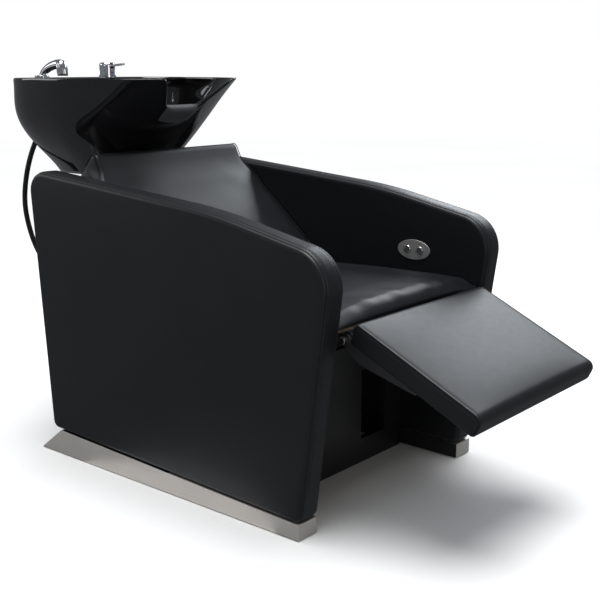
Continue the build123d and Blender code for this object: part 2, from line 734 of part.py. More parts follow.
DECK_T = 20.0
POCKET_Z, POCKET_MOUTH_Z = 680.0, 806.0
with BuildPart() as basin:
    add(outer_shell)
    add(bowl, mode=Mode.SUBTRACT)
    # recess for the cradle between the skirts, open to the front
    with Locations((0, 510, BASIN_SEAT_Z - 20)):
        Box(200, 220, 40, mode=Mode.SUBTRACT)
    # hollow under the rear deck, open below and behind
    with BuildSketch(Plane.XY.offset(POCKET_Z)):
        with Locations((0, DECK_Y)):
            RectangleRounded(320, 70, 12)
    extrude(amount=RIM_Z - DECK_T - POCKET_Z, mode=Mode.SUBTRACT)
    with BuildSketch(Plane.XY.offset(POCKET_Z)):
        with Locations((0, DECK_Y + 35)):
            Rectangle(300, 90)
    extrude(amount=POCKET_MOUTH_Z - POCKET_Z, mode=Mode.SUBTRACT)
    # neck recess through the front wall
    with BuildSketch(Plane.XZ.offset(-NECK_REAR)):
        add(neck_profile())
    extrude(amount=NECK_REAR - NECK_FRONT, mode=Mode.SUBTRACT)
    with BuildSketch(Plane.XY.offset(POCKET_Z)):
        with Locations((0, DRAIN_Y)):
            Circle(25)
    extrude(amount=70, mode=Mode.SUBTRACT)
    with BuildSketch(Plane.XY.offset(900)):
        with Locations((MIXER_X, DECK_Y)):
            Circle(16)
        with Locations((GUIDE_X, DECK_Y)):
            Circle(13)
    extrude(amount=60, mode=Mode.SUBTRACT)
keep(basin, "basin")

PAD_HALF, PAD_LOW_Z, PAD_TOP_Z = 56.0, 824.0, 882.0
APRON_TOP_Z = NECK_Z + PAD_GEL - 1
APRON_Y, APRON_MID_Z = 290.0, (PAD_LOW_Z + APRON_TOP_Z) / 2
with BuildPart() as wall_front:
    with Locations((0, APRON_Y, APRON_MID_Z)):
        Box(2 * PAD_HALF + 4, 124, APRON_TOP_Z - PAD_LOW_Z + 4)
    add(pad_inside, mode=Mode.INTERSECT)

with BuildPart() as apron:
    with Locations((0, APRON_Y, APRON_MID_Z)):
        Box(2 * PAD_HALF, 120, APRON_TOP_Z - PAD_LOW_Z)
    add(pad_outside, mode=Mode.INTERSECT)
    add(wall_front.part, mode=Mode.SUBTRACT)

with BuildPart() as neck_rest:
    # lining of the recess
    with BuildSketch(Plane.XZ.offset(-NECK_REAR)):
        add(neck_profile())
        offset(amount=-GAP)
        add(offset(neck_profile(), amount=-PAD_GEL, mode=Mode.PRIVATE), mode=Mode.SUBTRACT)
    extrude(amount=NECK_REAR - NECK_FRONT)
    with BuildSketch(Plane.YZ.offset(-PAD_HALF)):
        with BuildLine():
            Polyline(
                (256, PAD_TOP_Z), (276, NECK_Z), (316, NECK_Z), (308, PAD_TOP_Z), close=True
            )
        make_face()
    extrude(amount=2 * PAD_HALF, mode=Mode.INTERSECT)
    # apron that hangs over the outside of the front wall
    add(apron.part)
keep(neck_rest, "neck_rest")

# ---------------------------------------------------------------- mixer

CAP_Z = 958.0  # top of the fixed mixer body
PIVOT_LEVER_Z = 967.0
LEVER_W, LEVER_TIP_Y = 11.0, 618.0
SPIGOT_Y, SPIGOT_Z = DECK_Y + 8, 800.0
with BuildPart() as mixer_body:
    with BuildSketch(Plane.XY.offset(RIM_Z)):
        with Locations((MIXER_X, DECK_Y)):
            Circle(24)
    extrude(amount=5)
    with BuildSketch(Plane.XY.offset(RIM_Z)):
        with Locations((MIXER_X, DECK_Y)):
            Circle(21)
    extrude(amount=CAP_Z - RIM_Z)
    with BuildSketch(Plane.XY.offset(900)):
        with Locations((MIXER_X, DECK_Y)):
            Circle(15.9)
    extrude(amount=RIM_Z - 900)
    with BuildSketch(Plane.XY.offset(SPIGOT_Z)):
        with Locations((MIXER_X, SPIGOT_Y)):
            Circle(6)
    extrude(amount=900 - SPIGOT_Z)
    with BuildSketch(Plane.XY.offset(830)):
        with Locations((MIXER_X - 9, DECK_Y - 7), (MIXER_X + 9, DECK_Y - 7)):
            Circle(5)
    extrude(amount=70)
    with BuildSketch(Plane.XY.offset(830)):
        with Locations((MIXER_X - 9, DECK_Y - 7), (MIXER_X + 9, DECK_Y - 7)):
            RegularPolygon(7.5, 6)
    extrude(amount=14)
keep(mixer_body, "mixer_body")

with BuildPart() as mixer_cap:
    with BuildSketch(Plane.XY.offset(CAP_Z + 0.2)):
        with Locations((MIXER_X, DECK_Y)):
            Circle(22)
    extrude(amount=20)
    fillet(mixer_cap.faces().sort_by(Axis.Z)[-1].edges(), 7)
    with Locations((MIXER_X, DECK_Y - 12, CAP_Z + 15)):
        Box(LEVER_W + 0.6, 40, 22, mode=Mode.SUBTRACT)
    with BuildSketch(Plane.YZ.offset(MIXER_X - 15)):
        with Locations((DECK_Y, PIVOT_LEVER_Z)):
            Circle(3.05)
    extrude(amount=30, mode=Mode.SUBTRACT)
keep(mixer_cap, "mixer_cap")

with BuildPart() as lever:
    with BuildSketch(Plane.YZ.offset(MIXER_X - LEVER_W / 2)):
        with Locations((DECK_Y, PIVOT_LEVER_Z)):
            Circle(4.5)
        with BuildLine():
            Polyline(
                (DECK_Y, PIVOT_LEVER_Z - 2.5), (DECK_Y, PIVOT_LEVER_Z + 4),
                (LEVER_TIP_Y, 976), (LEVER_TIP_Y, 971), close=True,
            )
        make_face()
    extrude(amount=LEVER_W)
    fillet(lever.edges().filter_by(Axis.Z).group_by(Axis.Y)[0], 4)
    with BuildSketch(Plane.YZ.offset(MIXER_X - 14.5)):
        with Locations((DECK_Y, PIVOT_LEVER_Z)):
            Circle(3)
    extrude(amount=29)
keep(lever, "mixer_lever")

# ---------------------------------------------------------------- hand shower

HANDLE_R, HANDLE_END_Z = 7.5, 868.0
GUIDE_BORE = 9.0
with BuildPart() as guide:
    with BuildSketch(Plane.XY.offset(RIM_Z)):
        with Locations((GUIDE_X, DECK_Y)):
            Circle(19)
    extrude(amount=6)
    fillet(guide.faces().sort_by(Axis.Z)[-1].edges(), 2)
    with BuildSketch(Plane.XY.offset(900)):
        with Locations((GUIDE_X, DECK_Y)):
            Circle(12.9)
    extrude(amount=RIM_Z - 900)
    with BuildSketch(Plane.XY.offset(899)):
        with Locations((GUIDE_X, DECK_Y)):
            Circle(GUIDE_BORE)
    extrude(amount=60, mode=Mode.SUBTRACT)
keep(guide, "handset_guide")

with BuildPart() as deck_nuts:
    for x, inner, outer in ((MIXER_X, 15.9, 24), (GUIDE_X, 12.9, 20)):
        with BuildSketch(Plane.XY.offset(RIM_Z - DECK_T - 8)):
            with Locations((x, DECK_Y)):
                RegularPolygon(outer, 6)
                Circle(inner, mode=Mode.SUBTRACT)
        extrude(amount=8)
keep(deck_nuts, "deck_nuts")

HEAD_TOP, HEAD_END = (605.0, 991.0), (595.0, 943.0)
with BuildPart() as handle:
    with BuildLine(Plane.YZ.offset(GUIDE_X)) as arch:
        Polyline((DECK_Y, HANDLE_END_Z), (DECK_Y, 945))
        Spline(
            (DECK_Y, 945), (680, 966), (646, 981), (620, 982),
            tangents=((0, 1), (-1, 0)),
        )
    with BuildSketch(Plane.XY.offset(HANDLE_END_Z)):
        with Locations((GUIDE_X, DECK_Y)):
            Circle(HANDLE_R)
    sweep(path=arch.wires()[0])
keep(handle, "handset_handle")

head_dir = Vector(0, HEAD_END[0] - HEAD_TOP[0], HEAD_END[1] - HEAD_TOP[1])
head_plane = Plane(origin=(GUIDE_X, *HEAD_TOP), x_dir=(1, 0, 0), z_dir=head_dir)
with BuildPart() as head:
    with BuildSketch(head_plane):
        Circle(11)
    with BuildSketch(head_plane.offset(head_dir.length)):
        Circle(14)
    loft()
    fillet(head.edges().filter_by(GeomType.CIRCLE).sort_by(Axis.Z)[-1], 5)
    with BuildSketch(Plane.XZ.offset(-620)):
        with Locations((GUIDE_X, 982)):
            Circle(HANDLE_R)
    extrude(amount=18)
keep(head, "handset_head")

# ---------------------------------------------------------------- shower hose

HOSE_PATH = (
    (GUIDE_X, DECK_Y, HANDLE_END_Z),
    (GUIDE_X, DECK_Y, 830),
    (-133, 716, 785),
    (-140, 744, 735),
    (-150, 760, 670),
    (-156, 766, 600),
    (-154, 756, 535),
    (-146, 736, 470),
    (-124, 706, 405),
    (-86, 682, 350),
    (-40, 666, 320),
    (6, 660, 322),
    (46, 664, 352),
    (72, 674, 408),
    (86, 684, 474),
    (93, 691, 545),
    (95, 697, 620),
    (MIXER_X, SPIGOT_Y, 700),
    (MIXER_X, SPIGOT_Y, SPIGOT_Z),
)


def bend_radii(path):
    """Bend radius at each inner corner: 0.45 of the shorter run over tan of half the turn."""
    radii = []
    for before, at, after in zip(path, path[1:], path[2:]):
        arrive = Vector(*at) - Vector(*before)
        leave = Vector(*after) - Vector(*at)
        turn = radians(arrive.get_angle(leave))
        radii.append(0.45 * min(arrive.length, leave.length) / tan(turn / 2))
    return radii


radii = bend_radii(HOSE_PATH)
with BuildPart() as hose:
    with BuildLine() as run:
        FilletPolyline(*HOSE_PATH, radius=radii)
    with BuildSketch(Plane.XY.offset(HANDLE_END_Z)):
        with Locations((GUIDE_X, DECK_Y)):
            Circle(HOSE_D / 2)
    sweep(path=run.wires()[0])
keep(hose, "shower_hose")
hose_length = run.wires()[0].length
swept = pi * HOSE_D**2 / 4 * hose_length
print("hose length", round(hose_length, 1), "volume ratio", round(hose.part.volume / swept, 4))
print("hose bend radii", [round(r) for r in radii])

# ---------------------------------------------------------------- drain and trap

FLOOR_Z = 722.0  # lowest level inside the bowl
FLANGE_R, DRAIN_R = 31.0, 24.0
TUBE_END_Z = 690.0
with BuildPart() as drain:
    with BuildSketch(Plane.XY.offset(FLOOR_Z)):
        with Locations((0, DRAIN_Y)):
            Circle(FLANGE_R)
    extrude(amount=2.5)
    fillet(drain.faces().sort_by(Axis.Z)[-1].edges(), 1.5)
    with BuildSketch(Plane.XY.offset(TUBE_END_Z)):
        with Locations((0, DRAIN_Y)):
            Circle(DRAIN_R)
    extrude(amount=FLOOR_Z - TUBE_END_Z)
    with BuildSketch(Plane.XY.offset(TUBE_END_Z)):
        with Locations((0, DRAIN_Y)):
            Circle(DRAIN_R - 4)
    extrude(amount=FLOOR_Z + 3 - TUBE_END_Z, mode=Mode.SUBTRACT)
    for angle in (0, 60, 120):
        with BuildSketch(Plane.XY.offset(FLOOR_Z - 2)):
            with Locations(Location((0, DRAIN_Y, 0), (0, 0, angle))):
                Rectangle(2 * DRAIN_R - 6, 3)
        extrude(amount=3)
keep(drain, "drain_flange")

with BuildPart() as drain_nut:
    with BuildSketch(Plane.XY.offset(BASIN_SEAT_Z - 8)):
        with Locations((0, DRAIN_Y)):
            RegularPolygon(34, 8)
            Circle(DRAIN_R, mode=Mode.SUBTRACT)
    extrude(amount=8)
keep(drain_nut, "drain_nut")

BOTTLE_R, PIPE_R = 34.0, 18.0
OUTLET_Z, OUTLET_Y = 618.0, 640.0
COLLAR_Y = 605.0  # end of the collar at the root of the outlet
with BuildPart() as trap:
    with BuildSketch(Plane.XY.offset(672)):
        with Locations((0, DRAIN_Y)):
            RegularPolygon(30, 8)
    extrude(amount=TUBE_END_Z - 672)
    with BuildSketch(Plane.XY.offset(640)):
        with Locations((0, DRAIN_Y)):
            Circle(PIPE_R)
    extrude(amount=32)
    with BuildSketch(Plane.XY.offset(560)):
        with Locations((0, DRAIN_Y)):
            Circle(BOTTLE_R)
    extrude(amount=84)
    fillet(trap.faces().sort_by(Axis.Z)[0].edges(), 10)
    with BuildSketch(Plane.XZ.offset(-OUTLET_Y)):
        with Locations((0, OUTLET_Z)):
            Circle(PIPE_R)
    extrude(amount=OUTLET_Y - DRAIN_Y)
    with BuildSketch(Plane.XZ.offset(-COLLAR_Y)):
        with Locations((0, OUTLET_Z)):
            Circle(PIPE_R + 4)
    extrude(amount=COLLAR_Y - DRAIN_Y)
    with BuildSketch(Plane.XZ.offset(-OUTLET_Y)):
        with Locations((0, OUTLET_Z)):
            Circle(PIPE_R - 3)
    extrude(amount=30, mode=Mode.SUBTRACT)
keep(trap, "bottle_trap")

print(len(written), "nodes")
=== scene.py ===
"""Looks of the shampoo backwash unit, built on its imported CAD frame. Metres, +Z is up."""

import json
import math

import bmesh
import bpy
import numpy as np
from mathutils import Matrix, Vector


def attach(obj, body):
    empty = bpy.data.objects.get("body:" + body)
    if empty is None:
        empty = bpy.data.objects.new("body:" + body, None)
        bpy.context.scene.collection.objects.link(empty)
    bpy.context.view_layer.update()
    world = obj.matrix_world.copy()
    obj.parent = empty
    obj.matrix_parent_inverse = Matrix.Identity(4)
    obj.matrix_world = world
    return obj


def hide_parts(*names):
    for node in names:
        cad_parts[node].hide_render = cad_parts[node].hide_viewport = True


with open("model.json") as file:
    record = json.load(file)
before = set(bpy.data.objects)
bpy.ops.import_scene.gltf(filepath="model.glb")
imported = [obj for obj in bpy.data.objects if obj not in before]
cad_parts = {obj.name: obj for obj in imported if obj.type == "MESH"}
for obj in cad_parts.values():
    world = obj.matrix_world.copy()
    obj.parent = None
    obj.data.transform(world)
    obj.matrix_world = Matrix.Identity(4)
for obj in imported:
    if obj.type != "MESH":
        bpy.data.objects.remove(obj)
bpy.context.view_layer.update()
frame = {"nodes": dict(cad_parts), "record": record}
nodes = frame["nodes"]
scene = bpy.context.scene

# ---------------------------------------------------------------- camera


def link(name, data):
    obj = bpy.data.objects.new(name, data)
    scene.collection.objects.link(obj)
    return obj


def aim(obj, forward):
    obj.rotation_euler = Vector(forward).to_track_quat("-Z", "Y").to_euler()


camera = link("camera", bpy.data.cameras.new("camera"))
camera.data.lens = 62.28
camera.data.sensor_width = 36.0
camera.location = (-1.868, -1.6725, 0.968)
aim(camera, (0.7473, 0.6271, -0.2198))
scene.camera = camera

# ---------------------------------------------------------------- node materials


class Shader:
    """A material with a few shorthands for building its node tree."""

    def __init__(self, name, color, roughness, metallic=0.0, **sockets):
        self.material = bpy.data.materials.new(name)
        self.material.use_nodes = True
        self.material.diffuse_color = (*color, 1)
        self.tree = self.material.node_tree
        self.bsdf = self.tree.nodes["Principled BSDF"]
        self.put("Base Color", (*color, 1))
        self.put("Roughness", roughness)
        self.put("Metallic", metallic)
        for key, value in sockets.items():
            self.put(key.replace("_", " "), value)
        self.coords = self.tree.nodes.new("ShaderNodeTexCoord").outputs["Object"]
        self.normal = None

    def put(self, socket, value):
        self.bsdf.inputs[socket].default_value = value

    def link(self, a, b):
        self.tree.links.new(a, b)

    def scaled(self, scale):
        node = self.tree.nodes.new("ShaderNodeMapping")
        node.inputs["Scale"].default_value = scale
        self.link(self.coords, node.inputs["Vector"])
        return node.outputs["Vector"]

    def noise(self, scale, detail=3.0, vector=None, rough=0.5):
        node = self.tree.nodes.new("ShaderNodeTexNoise")
        node.inputs["Scale"].default_value = scale
        node.inputs["Detail"].default_value = detail
        node.inputs["Roughness"].default_value = rough
        self.link(vector or self.coords, node.inputs["Vector"])
        return node.outputs["Fac"]

    def cells(self, scale, vector=None, feature="F1"):
        node = self.tree.nodes.new("ShaderNodeTexVoronoi")
        node.feature = feature
        node.inputs["Scale"].default_value = scale
        self.link(vector or self.coords, node.inputs["Vector"])
        return node.outputs["Distance"]

    def bump(self, height, strength, distance=0.001):
        node = self.tree.nodes.new("ShaderNodeBump")
        node.inputs["Strength"].default_value = strength
        node.inputs["Distance"].default_value = distance
        self.link(height, node.inputs["Height"])
        if self.normal is not None:
            self.link(self.normal, node.inputs["Normal"])
        self.normal = node.outputs["Normal"]
        self.link(self.normal, self.bsdf.inputs["Normal"])

    def ramp(self, fac, stops):
        node = self.tree.nodes.new("ShaderNodeValToRGB")
        elements = node.color_ramp.elements
        while len(elements) < len(stops):
            elements.new(0.5)
        for element, (place, color) in zip(elements, stops):
            element.position = place
            element.color = color if len(color) == 4 else (*color, 1)
        self.link(fac, node.inputs["Fac"])
        return node.outputs["Color"]

    def tint(self, fac, low, high, start=0.35, end=0.65):
        """Base colour that varies between two colours."""
        self.link(self.ramp(fac, ((start, low), (end, high))), self.bsdf.inputs["Base Color"])

    def vary_roughness(self, fac, low, high, start=0.3, end=0.7):
        grey = self.ramp(fac, ((start, (low,) * 3), (end, (high,) * 3)))
        self.link(grey, self.bsdf.inputs["Roughness"])


def leatherette(name, low, high, gloss):
    s = Shader(name, high, gloss, Specular_IOR_Level=0.42)
    s.tint(s.noise(9.0, 4), low, high)
    s.vary_roughness(s.noise(60.0, 4), gloss - 0.02, gloss + 0.02)
    s.bump(s.noise(5.5, 2), 0.03, 0.001)
    s.bump(s.cells(900.0, feature="SMOOTH_F1"), 0.22, 0.0002)
    s.bump(s.noise(2600.0, 2), 0.18, 0.0001)
    return s.material


def brushed(name, color, along, gloss=0.32, grain=0.25, metal=1.0):
    """Metal brushed along one axis, 0, 1 or 2."""
    s = Shader(name, color, gloss, metal, Anisotropic=0.4)
    stretch = [700.0] * 3
    stretch[along] = 9.0
    lines = s.noise(1.0, 3, s.scaled(stretch))
    s.tint(lines, tuple(c * 0.86 for c in color), color, 0.3, 0.75)
    s.vary_roughness(s.noise(14.0, 4), gloss - 0.06, gloss + 0.08)
    s.bump(lines, grain, 0.0002)
    return s.material


def chrome(name, color=(0.80, 0.81, 0.83), gloss=0.06):
    s = Shader(name, color, gloss, 1.0)
    s.vary_roughness(s.noise(30.0, 4), gloss - 0.02, gloss + 0.05)
    s.bump(s.noise(60.0, 3), 0.03, 0.0003)
    return s.material


def glaze(name):
    s = Shader(name, (0.004, 0.004, 0.005), 0.05, Specular_IOR_Level=0.6, Coat_Weight=0.6)
    s.put("Coat Roughness", 0.03)
    s.tint(s.noise(7.0, 3), (0.0035, 0.0035, 0.004), (0.007, 0.007, 0.008))
    s.vary_roughness(s.noise(25.0, 4), 0.03, 0.09)
    s.bump(s.noise(9.0, 2), 0.10, 0.002)
    return s.material


def plastic(name, color, gloss, grain=0.12, scale=1400.0):
    s = Shader(name, color, gloss)
    s.tint(s.noise(12.0, 4), tuple(c * 0.85 for c in color), color)
    s.vary_roughness(s.noise(30.0, 4), gloss - 0.05, gloss + 0.06)
    s.bump(s.noise(scale, 3), grain, 0.0002)
    return s.material


def laminate(name, color, gloss):
    s = Shader(name, color, gloss)
    s.tint(s.noise(6.0, 4), tuple(c * 0.8 for c in color), color)
    s.vary_roughness(s.noise(18.0, 5), gloss - 0.05, gloss + 0.08)
    s.bump(s.noise(700.0, 3), 0.10, 0.0002)
    return s.material


def plywood(name):
    s = Shader(name, (0.55, 0.40, 0.24), 0.6)
    grain = s.noise(1.0, 6, s.scaled((160.0, 9.0, 60.0)))
    s.tint(grain, (0.40, 0.27, 0.15), (0.62, 0.46, 0.28))
    s.bump(grain, 0.25, 0.0005)
    return s.material


def powder_coat(name, color):
    s = Shader(name, color, 0.42)
    s.tint(s.noise(15.0, 4), tuple(c * 0.8 for c in color), color)
    s.bump(s.noise(900.0, 2), 0.30, 0.0003)
    return s.material


def zinc(name):
    s = Shader(name, (0.62, 0.62, 0.60), 0.28, 1.0)
    s.tint(s.cells(160.0), (0.50, 0.50, 0.47), (0.72, 0.72, 0.72), 0.1, 0.9)
    s.vary_roughness(s.noise(120.0, 4), 0.2, 0.42)
    s.bump(s.noise(400.0, 3), 0.08, 0.0003)
    return s.material


VINYL_LOW, VINYL_HIGH = (0.0070, 0.0077, 0.0097), (0.0080, 0.0088, 0.0111)
LOOKS = {
    "leatherette": leatherette("leatherette", VINYL_LOW, VINYL_HIGH, 0.40),
    "plywood": plywood("plywood"),
    "painted_board": laminate("painted_board", (0.008, 0.008, 0.009), 0.55),
    "plinth_steel": brushed("plinth_steel", (0.63, 0.60, 0.565), 1, 0.42, 0.25, 0.55),
    "frame_paint": powder_coat("frame_paint", (0.022, 0.022, 0.024)),
    "zinc_steel": zinc("zinc_steel"),
    "chrome": chrome("chrome"),
    "basin_glaze": glaze("basin_glaze"),
    "gel": plastic("gel", (0.058, 0.059, 0.063), 0.48, 0.2, 500.0),
    "black_laminate": laminate("black_laminate", (0.010, 0.010, 0.011), 0.34),
    "black_plastic": plastic("black_plastic", (0.014, 0.014, 0.015), 0.38),
    "grey_plastic": plastic("grey_plastic", (0.36, 0.36, 0.37), 0.4),
    "white_plastic": plastic("white_plastic", (0.72, 0.72, 0.69), 0.3, 0.05),
    "hose_sleeve": plastic("hose_sleeve", (0.010, 0.010, 0.011), 0.3, 0.05),
    "foot_rubber": plastic("foot_rubber", (0.015, 0.015, 0.015), 0.75, 0.3, 700.0),
}
THREAD = plastic("thread", (0.022, 0.023, 0.026), 0.6, 0.5, 3000.0)
SEAM = plastic("seam_shadow", (0.0025, 0.0025, 0.003), 0.7, 0.3, 1500.0)
SATIN_NICKEL = brushed("satin_nickel", (0.60, 0.59, 0.57), 1, 0.36, 0.15, 0.6)
RED_DOT = plastic("red_dot", (0.75, 0.03, 0.02), 0.25, 0.02)
BLUE_DOT = plastic("blue_dot", (0.02, 0.10, 0.70), 0.25, 0.02)
SHARP_SLOTS = (
    "chrome", "zinc_steel", "frame_paint", "plinth_steel", "black_plastic", "grey_plastic",
)
EDGE = 0.0005

for part in frame["record"]["subparts"]:
    node = nodes[part["node"]]
    node.data.materials.clear()
    node.data.materials.append(LOOKS[part["material_slot"]])
    if part["material_slot"] in SHARP_SLOTS:
        bevel = node.modifiers.new("edge", "BEVEL")
        bevel.width = EDGE
        bevel.segments = 2
        bevel.limit_method = "ANGLE"
        bevel.angle_limit = math.radians(40)
        bevel.harden_normals = True
nodes["switch_plate"].data.materials[0] = SATIN_NICKEL

# ---------------------------------------------------------------- shower hose

HOSE_D = 0.014
HOSE_PATH = (
    (-0.130, 0.690, 0.868),
    (-0.130, 0.690, 0.830),
    (-0.133, 0.716, 0.785),
    (-0.140, 0.744, 0.735),
    (-0.150, 0.760, 0.670),
    (-0.156, 0.766, 0.600),
    (-0.154, 0.756, 0.535),
    (-0.146, 0.736, 0.470),
    (-0.124, 0.706, 0.405),
    (-0.086, 0.682, 0.350),
    (-0.040, 0.666, 0.320),
    (0.006, 0.660, 0.322),
    (0.046, 0.664, 0.352),
    (0.072, 0.674, 0.408),
    (0.086, 0.684, 0.474),
    (0.093, 0.691, 0.545),
    (0.095, 0.697, 0.620),
    (0.095, 0.698, 0.700),
    (0.095, 0.698, 0.800),
)


def hose():
    curve = bpy.data.curves.new("hose", "CURVE")
    curve.dimensions = "3D"
    spline = curve.splines.new("NURBS")
    spline.points.add(len(HOSE_PATH) - 1)
    for point, place in zip(spline.points, HOSE_PATH):
        point.co = (*place, 1)
    spline.order_u = 3
    spline.use_endpoint_u = True
    spline.resolution_u = 12
    curve.bevel_depth = HOSE_D / 2
    curve.bevel_resolution = 6
    curve.materials.append(LOOKS["hose_sleeve"])
    obj = link("shower_hose_sleeve", curve)
    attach(obj, "basin")
    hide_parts("shower_hose")
    return obj


hose()

# ---------------------------------------------------------------- mesh helpers


def face_outward(mesh):
    bm = bmesh.new()
    bm.from_mesh(mesh)
    bmesh.ops.recalc_face_normals(bm, faces=bm.faces)
    bm.to_mesh(mesh)
    bm.free()


def finish_mesh(name, mesh, material, body, smooth_deg=50):
    """Links a mesh as a piece on a body, with outward normals and soft shading."""
    face_outward(mesh)
    mesh.shade_smooth()
    mesh.set_sharp_from_angle(angle=math.radians(smooth_deg))
    mesh.materials.append(material)
    obj = link(name, mesh)
    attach(obj, body)
    return obj


def rings_mesh(name, rings, cap_start=True, cap_end=True):
    """Mesh through closed rings of equal count, with an n-gon on each end if capped."""
    count = len(rings[0])
    verts = [tuple(p) for ring in rings for p in ring]
    faces = []
    for r in range(len(rings) - 1):
        a, b = r * count, (r + 1) * count
        for i in range(count):
            j = (i + 1) % count
            faces.append((a + i, a + j, b + j, b + i))
    if cap_start:
        faces.append(tuple(range(count)))
    if cap_end:
        faces.append(tuple((len(rings) - 1) * count + i for i in range(count)))
    mesh = bpy.data.meshes.new(name)
    mesh.from_pydata(verts, [], faces)
    return mesh


def rounded(corners, radii, step=0.006):
    """Closed outline with rounded corners, resampled to an even step, and its outward normals."""
    points = []
    n = len(corners)
    for i in range(n):
        a, p, b = (np.array(corners[k % n], float) for k in (i - 1, i, i + 1))
        u, v = (a - p) / np.linalg.norm(a - p), (b - p) / np.linalg.norm(b - p)
        half = math.acos(max(-1, min(1, float(u @ v)))) / 2
        reach = radii[i] / math.tan(half)
        start, end = p + u * reach, p + v * reach
        centre = p + (u + v) / np.linalg.norm(u + v) * radii[i] / math.sin(half)
        sweep = math.pi - 2 * half
        count = max(3, int(sweep * radii[i] / step * 2) + 2)
        e0, e1 = start - centre, end - centre
        for k in range(count + 1):
            t = k / count
            w0 = math.sin((1 - t) * sweep) / math.sin(sweep)
            w1 = math.sin(t * sweep) / math.sin(sweep)
            points.append(centre + e0 * w0 + e1 * w1)
    points = np.array(points)
    closed = np.vstack([points, points[:1]])
    lengths = np.r_[0, np.cumsum(np.linalg.norm(np.diff(closed, axis=0), axis=1))]
    total = int(lengths[-1] / step)
    at = np.linspace(0, lengths[-1], total, endpoint=False)
    even = np.c_[np.interp(at, lengths, closed[:, 0]), np.interp(at, lengths, closed[:, 1])]
    tangent = np.roll(even, -1, 0) - np.roll(even, 1, 0)
    normal = np.c_[tangent[:, 1], -tangent[:, 0]]
    normal /= np.linalg.norm(normal, axis=1)[:, None]
    centre = even.mean(0)
    if ((even - centre) * normal).sum() < 0:
        normal = -normal
    return even, normal


def tube(name, path, radius, material, body, closed=True, sides=6):
    """Thin round cord along a dense path, for piping and seams."""
    path = np.asarray(path, float)
    count = len(path)
    rings = []
    for i in range(count):
        before = path[(i - 1) % count] if closed or i else path[0]
        after = path[(i + 1) % count] if closed or i < count - 1 else path[-1]
        t = Vector(after - before).normalized()
        side = t.orthogonal().normalized() if not rings else (last - t * last.dot(t)).normalized()
        last = side
        up = t.cross(side)
        ring = [
            Vector(path[i]) + (side * math.cos(a) + up * math.sin(a)) * radius
            for a in (2 * math.pi * k / sides for k in range(sides))
        ]
        rings.append(ring)
    if closed:
        mesh = bpy.data.meshes.new(name)
        verts = [tuple(p) for ring in rings for p in ring]
        faces = [
            (
                r * sides + k,
                r * sides + (k + 1) % sides,
                (r + 1) % count * sides + (k + 1) % sides,
                (r + 1) % count * sides + k,
            )
            for r in range(count)
            for k in range(sides)
        ]
        mesh.from_pydata(verts, [], faces)
    else:
        mesh = rings_mesh(name, rings)
    return finish_mesh(name, mesh, material, body, 80)


def stitches(name, path, outward, body, closed=True, pitch=0.0048, length=0.0036, radius=0.0004):
    """Row of sewn thread lengths lying along a dense path; outward points away from the cloth."""
    path, outward = np.asarray(path, float), np.asarray(outward, float)
    if closed:
        path, outward = np.vstack([path, path[:1]]), np.vstack([outward, outward[:1]])
    lengths = np.r_[0, np.cumsum(np.linalg.norm(np.diff(path, axis=0), axis=1))]
    starts = np.arange(pitch / 2, lengths[-1] - length, pitch)
    verts, faces = [], []
    shape = ((0.0, 0.3, -0.3), (0.25, 1.0, 0.35), (0.75, 1.0, 0.35), (1.0, 0.3, -0.3))
    for start in starts:
        base = len(verts)
        for along, thick, lift in shape:
            at = start + along * length
            p = np.array([np.interp(at, lengths, path[:, k]) for k in range(3)])
            q = np.array([np.interp(at + 0.001, lengths, path[:, k]) for k in range(3)])
            out = np.array([np.interp(at, lengths, outward[:, k]) for k in range(3)])
            side = np.cross(q - p, out)
            size = np.linalg.norm(side)
            side = side / size if size > 1e-9 else np.array([1.0, 0, 0])
            for a in (0, 72, 144, 216, 288):
                c, v = math.cos(math.radians(a)), math.sin(math.radians(a))
                verts.append(tuple(p + (side * c + out * v) * radius * thick + out * radius * lift))
        for r in range(3):
            for k in range(5):
                j = (k + 1) % 5
                a = base + r * 5
                faces.append((a + k, a + j, a + 5 + j, a + 5 + k))
        faces.append(tuple(base + k for k in range(5)))
        faces.append(tuple(base + 15 + k for k in range(5)))
    mesh = bpy.data.meshes.new(name)
    mesh.from_pydata(verts, [], faces)
    return finish_mesh(name, mesh, THREAD, body, 80)


# ---------------------------------------------------------------- side panels

PANEL = ((-0.386, 0.038), (-0.4625, 0.604), (-0.139, 0.6696), (0.487, 0.721), (0.436, 0.066))
PANEL_RADII = (0.016, 0.085, 1.5, 0.050, 0.020)
outline, outline_out = rounded(PANEL, PANEL_RADII)
lift = np.clip((outline[:, 1] - 0.08) / 0.05, 0, 1)  # no fullness along the bottom edge


def panel_ring(x, inset, bulge=0.0):
    flat = outline - outline_out * (inset - bulge * lift)[:, None]
    return np.c_[np.full(len(flat), x), flat]


zero = np.zeros(len(outline))
